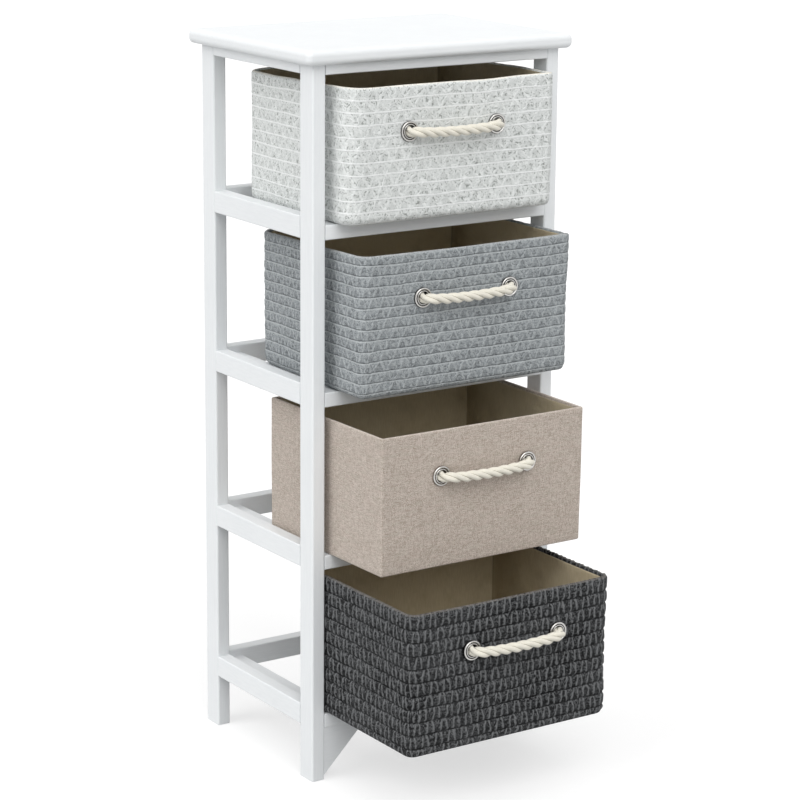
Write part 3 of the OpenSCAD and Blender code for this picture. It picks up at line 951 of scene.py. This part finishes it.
def braidPaint(name, perimeter, foot):
    # yarns that follow the strands: noise drawn out along them, a painted highlight on their crests, painted
    # shade in their hollows and the arches' feet, darker seams, and a pale line of stitches along each row's
    # top
    look = baskets[name]
    paint = Paint(f"{name}Braid", Specular_IOR_Level=look["gloss"])
    cloth = paint.cloth()
    u, s, _ = paint.axes(cloth)
    wander = (paint.noise(cloth, 110, 1) - 0.5) * look["wander"]
    row, within, beside = braid(u + wander, s, look, perimeter)
    across = beside * (look["pitch"] / 2)  # metres across the strand
    wide, long = 430 * look["yarn"], 90 * look["yarn"]
    yarns = paint.noise(paint.joined(across * wide, s * 300, row * 3.7 + u * long), 1, 1)
    fibres = paint.noise(paint.joined(across * 800, s * 520, row * 5.3 + u * 140), 1, 1)
    grit = paint.noise(cloth, 620, 1)
    patches = paint.noise(cloth, 160, 2)
    cloud = paint.noise(cloth, 14, 2)
    # a painted highlight along each strand's ridge, and painted shade in the hollows between strands,
    # deepest at each row's foot
    crest = slope(size(beside), 0.2, 0.04) * slope(patches, *look["fade"])
    hollow = slope(size(beside), 0.14, 0.36) * slope(within, 0.1, 0.9)
    groove = slope(size(within * 2 - 1), 0.82, 0.94)
    seam = groove * (0.45 + slope(patches, 0.58, 0.42) * 0.55) * look["seam"]
    line = slope(size(within - 0.09), look["lineWidth"], 0.4 * look["lineWidth"]) * look["line"]
    # a painted highlight along the rim's top, tinted for each basket
    rimLine = slope(size(s), 2.6 * mm, 1.5 * mm) * slope(fibres, 0.3, 0.5) * 0.85
    color = paint.coats(
        look["color"],
        look,
        (slope(fibres, 0.42, 0.62) * look["grain"], "light"),
        (slope(yarns + grit * 0.5, *look["tickEdges"]) * look["tick"], "dark"),
        (hollow * look["hollow"], "dark"),
        (crest * look["crest"], "light"),
        (seam, "dark"),
        (line, "stitch"),
        (slope(cloud, 0.3, 0.8) * 0.12, "light"),
        (rimLine, "rimLine"),
    )
    if look["footLine"]:
        # painted shade along the bottom bend, where the wall turns under
        footLine = slope(size(s - foot), 3 * mm, 1.4 * mm)
        color = paint.mix(footLine * look["footLine"], color, look["dark"])
    height = fibres * 0.6 + yarns * 0.8 + crest * 0.5 - groove * (0.7 * look["seam"]) + line * 0.4
    paint.finish(Base_Color=color, Roughness=0.72 + fibres * 0.2, Normal=paint.bump(height, 0.7 * mm, 0.9))
    return paint.material


def linenPaint():
    # plain weave: threads lie across and upright in turns, each with its own tone, which changes
    # slowly along it, and a dark gap shows between them
    look = baskets["linen"]
    paint = Paint("linenCloth", Sheen_Weight=0.15, Sheen_Roughness=0.5)
    cloth = paint.cloth()
    u, s, _ = paint.axes(cloth)
    sway = (paint.noise(cloth, 22, 2) - 0.5) * 3
    column, line = u / look["thread"] + sway, s / look["thread"] + sway
    upright = paint.noise(paint.joined(s * 250, whole(column) * 7.31, 3.5), 1, 1) * 0.85 + 0.06
    across = paint.noise(paint.joined(u * 230, whole(line) * 5.77, 8.5), 1, 1)
    over = part((whole(column) + whole(line)) * 0.5) * 2
    tone = upright + (across - upright) * over
    slub = paint.noise(cloth, 900, 1)
    tint = paint.noise(paint.scaled(cloth, (45, 260, 1)), 1, 2)
    gap = most(size(part(column) - 0.5), size(part(line) - 0.5))
    color = paint.coats(
        look["dark"],
        look,
        (slope(tone + slub * 0.6, 0.57, 1.03), "light"),
        (slope(gap, 0.36, 0.5) * 0.35, "dark"),
        (0.2, "color"),
        (slope(tint, 0.45, 0.7) * 0.22, "warm"),
        (slope(tint, 0.5, 0.3) * 0.22, "green"),
        # a painted highlight along the rim's top
        (slope(size(s), 1.6 * mm, 0.8 * mm) * 0.5, "light"),
    )
    height = slope(gap, 0.5, 0.2) + tone
    paint.finish(Base_Color=color, Roughness=0.78 + tint * 0.14, Normal=paint.bump(height, 0.25 * mm, 0.7))
    return paint.material


def makeBaskets():
    for name in baskets:
        mesh, perimeter, foot = basketWall(name)
        if name == "linen":
            slot, material = "linen_cloth", linenPaint()
        else:
            slot, material = f"{name}_braid", braidPaint(name, perimeter, foot)
        addPiece(mesh, f"{name}_basket", material, f"{name}_shell")
    print("baskets made")


lining = {
    "thick": 1.2 * mm,
    "foot": 3 * mm,  # radius of the bend from the bottom to the walls
    "corner": 2.5 * mm,  # the sharpest that a corner gets
    "fold": 2.6 * mm,
    "pucker": 0.8 * mm,
    "ruck": 0.8 * mm,  # of the bottom
    "thread": 0.9 * mm,
    "color": (0.435, 0.365, 0.24),
    "light": (0.55, 0.475, 0.335),
    "dark": (0.28, 0.22, 0.125),
    "foldLine": (0.17, 0.13, 0.07),
    "slack": (0.24, 0.185, 0.10),
    "shadeReach": 85 * mm,  # how far from the back corners the side walls are darker
    "turn": 12 * mm,  # radius of the outline's turns, which the corners share out
}


def liningPaint(name, bag):
    # plain cotton cloth: fine threads, crumpled a little with painted shade in its creases, and painted
    # shade along the folded corners and on the side walls beside the back ones
    paint = Paint(f"{name}LiningCloth", Sheen_Weight=0.2, Sheen_Roughness=0.4)
    cloth = paint.cloth()
    u, s, _ = paint.axes(cloth)
    threads = sine(u * (2 * math.pi / lining["thread"])) * sine(s * (2 * math.pi / lining["thread"]))
    slub = paint.noise(paint.scaled(cloth, (900, 90, 1)), 1, 2)
    crease = paint.noise(paint.place(), 38, 3, Distortion=0.4)
    cloud = paint.noise(paint.place(), 9, 2)
    beside = size(u - bag["perimeter"] / 2)
    ahead = bag["backCorner"] - beside
    onWall = slope(size(s - bag["hem"]), bag["height"] + 2 * mm, bag["height"] - 14 * mm)
    # painted shade on the side walls, darkest at the back corners and fading towards the front
    slack = slope(ahead, lining["shadeReach"], 0) * slope(ahead, -1 * mm, 1 * mm) * onWall
    # distance to the nearest folded corner, along which a narrow line of painted shade goes
    fold = least(size(beside - bag["frontCorner"]), size(ahead))
    # each basket's lining is painted lighter or darker, standing in for the light inside it
    color = [channel * baskets[name]["liningTone"] for channel in lining["color"]]
    color = paint.coats(
        color,
        lining,
        (slope(slub, 0.35, 0.65) * 0.4 + cloud * 0.3, "light"),
        # painted shade in the low places of the crumpled cloth
        (slope(crease, 0.5, 0.25) * 0.3, "dark"),
        (slack * 0.75, "slack"),
        (slope(fold, 1.8 * mm, 0.5 * mm) * onWall * 0.6, "foldLine"),
    )
    fine = paint.bump(threads * 0.5 + slub * 0.5, 0.2 * mm, 0.5)
    crumpled = paint.bump(crease, 5 * mm, 0.6, Normal=fine)
    paint.finish(Base_Color=color, Roughness=0.5 + slub * 0.16, Normal=crumpled)
    return paint.material


def bagProfile(width, height):
    # from the bottom's outside up the wall, over the hem and down to the bottom's inside: the inset
    # from the outline, and the height
    thick, foot = lining["thick"], lining["foot"]
    flat = np.linspace(0.5, 0.08, 6, endpoint=False) * width
    bend = np.linspace(-math.pi / 2, 0, 5, endpoint=False)
    bendIn, bendUp = 1 - np.cos(bend), 1 + np.sin(bend)
    wall = np.linspace(foot, height - thick / 2, 34, endpoint=False)
    hem = np.linspace(0, math.pi, 6)
    return joinStretches(
        (flat, 0),
        (foot * bendIn, foot * bendUp),
        (0, wall),
        (thick / 2 * (1 - np.cos(hem)), height - thick / 2 + thick / 2 * np.sin(hem)),
        (thick, wall[::-1]),
        (thick + (foot - thick) * bendIn[::-1], thick + (foot - thick) * bendUp[::-1]),
        (flat[::-1], thick),
    )


def liningBag(name):
    # a thin bag with square folded corners: the outline carried up the outside, over the hem and
    # down the inside, with soft folds that hang inwards from the hem and die out at the eyelets. Also
    # gives the bag's flat size, and the places of its corners and hem in the UV map: the corners'
    # are their distances from the front's middle
    look, turn = baskets[name], lining["turn"]
    (width, depth, height), middle = boxOf(f"{name}_liner", look["hemDrop"])
    half = (width / 2, depth / 2)
    share, angle, run = roundOutline(width, depth, turn, 4 * mm)
    inset, level = bagProfile(min(width, depth), height)
    down = distanceRun(inset, level)
    hem = down[np.argmax(level)]
    inset, level = inset[:, None], level[:, None]
    below, upShare = height - level, level / height
    corner = most(wallCorners(look, share, upShare) - look["thick"], lining["corner"])
    plainX, plainY = outlinePoints(share, angle, half, corner, least(inset, lining["foot"]))
    hang = slope(below, 2 * mm, 45 * mm) * slope(level, 0, 12 * mm)
    folds = ripples(plainX * 1.6, plainY * 1.6, level * 0.5, 70 * mm, look["seed"] + 60)
    puckers = ripples(plainX * 2, plainY * 2, level, 30 * mm, look["seed"] + 70)
    puckers = puckers * slope(below, 16 * mm, 1 * mm)
    inwards = lining["fold"] * hang * (0.5 + 0.5 * folds) + lining["pucker"] * (0.5 + 0.5 * puckers)
    inwards = most(inwards, 0)
    for centre in eyeletCentres(name) - middle:
        near = np.hypot(plainX - centre[0], level - centre[2])
        inwards = inwards * slope(near, *eyelet["liningSeat"]) ** (plainY < 0)
    onWall = slope(level, 0.5 * mm, 6 * mm)
    rucks = (ripples(plainX, plainY, 0, 50 * mm, look["seed"] + 80) + 1) / 2
    ruck = lining["ruck"] * rucks * (1 - onWall) * (inset > lining["foot"] + 0.1 * mm)
    x, y = outlinePoints(share, angle, half, corner, inset + inwards * onWall)
    z = level + ruck - rimDip(look, plainX, plainY, half, upShare)
    points = pointsFrom(pushWalls(x, y, half, look["push"]), y, z)
    frontCorner = width / 2 - turn + turn * math.pi / 4
    return surfaceMesh(f"{name}Lining", points + middle, pointsFrom(run, down[:, None])), {
        "flat": (width + 2 * height, depth + 2 * height),
        "area": width * depth + 2 * height * (width + depth),
        "perimeter": run[-1],
        "frontCorner": frontCorner,
        "backCorner": frontCorner + turn * math.pi / 2 + depth - 2 * turn,
        "hem": hem,
        "height": height,
    }


def makeLinings():
    for name in baskets:
        mesh, bag = liningBag(name)
        piece = addPiece(mesh, f"{name}_basket", liningPaint(name, bag), f"{name}_liner")
    print("linings made")


studio = {
    "ambient": 0.59,
    "floor": (0.49, 0.48),  # between these two greys
    "floorGlow": 0.56,
    "floorReach": 30,
    "lampSpread": 50,  # degrees
    "lamps": {  # strength, degrees to the right of the front, degrees up
        "frontLamp": (0.49, -12, 44),
        "leftLamp": (0.43, -95, 33),
        "rightLamp": (0.08, 100, 35),
    },
}


def makeLamp(name, strength, turn, rise):
    # a soft even light from one direction, found from its turn and its height
    data = bpy.data.lights.new(name, "SUN")
    data.energy = strength * math.pi
    data.angle = math.radians(studio["lampSpread"])
    turn, rise = math.radians(turn), math.radians(rise)
    towards = Vector((math.sin(turn) * math.cos(rise), -math.cos(turn) * math.cos(rise), math.sin(rise)))
    putInScene(name, data).rotation_euler = towards.to_track_quat("Z", "Y").to_euler()


def makeStudio():
    # the world is white where it is seen and plain grey as a light, and the floor glows likewise
    world = bpy.data.worlds.new("studio")
    bpy.context.scene.world = world
    world.use_nodes = True
    sky = Shader(world.node_tree)
    level = sky.node("ShaderNodeMapRange", {}, {"Value": sky.onShow(), "To_Min": studio["ambient"]})
    sky.wire(world.node_tree.nodes["Background"], {"Color": (1, 1, 1), "Strength": level})
    for name, lamp in studio["lamps"].items():
        makeLamp(name, *lamp)
    paint = Paint("paleFloor", Roughness=0.9, Specular_IOR_Level=0.0, Emission_Strength=studio["floorGlow"])
    pale, dark = ([tone] * 3 for tone in studio["floor"])
    paint.finish(
        Base_Color=paint.mix(paint.noise(paint.place(), 40), pale, dark),
        Emission_Color=paint.mix(paint.onShow(), (0, 0, 0), (1, 1, 1)),
    )
    mesh = bpy.data.meshes.new("floor")
    corners = np.array([(-1, -1, 0), (1, -1, 0), (1, 1, 0), (-1, 1, 0)]) * studio["floorReach"]
    mesh.from_pydata(corners, [], [range(4)])
    mesh.materials.append(paint.material)
    putInScene("floor", mesh)
    print("floor and light made")


makeRopes()
makeWoodwork()
finishHiddenParts()
makeEyelets()
makeBaskets()
makeLinings()
makeStudio()
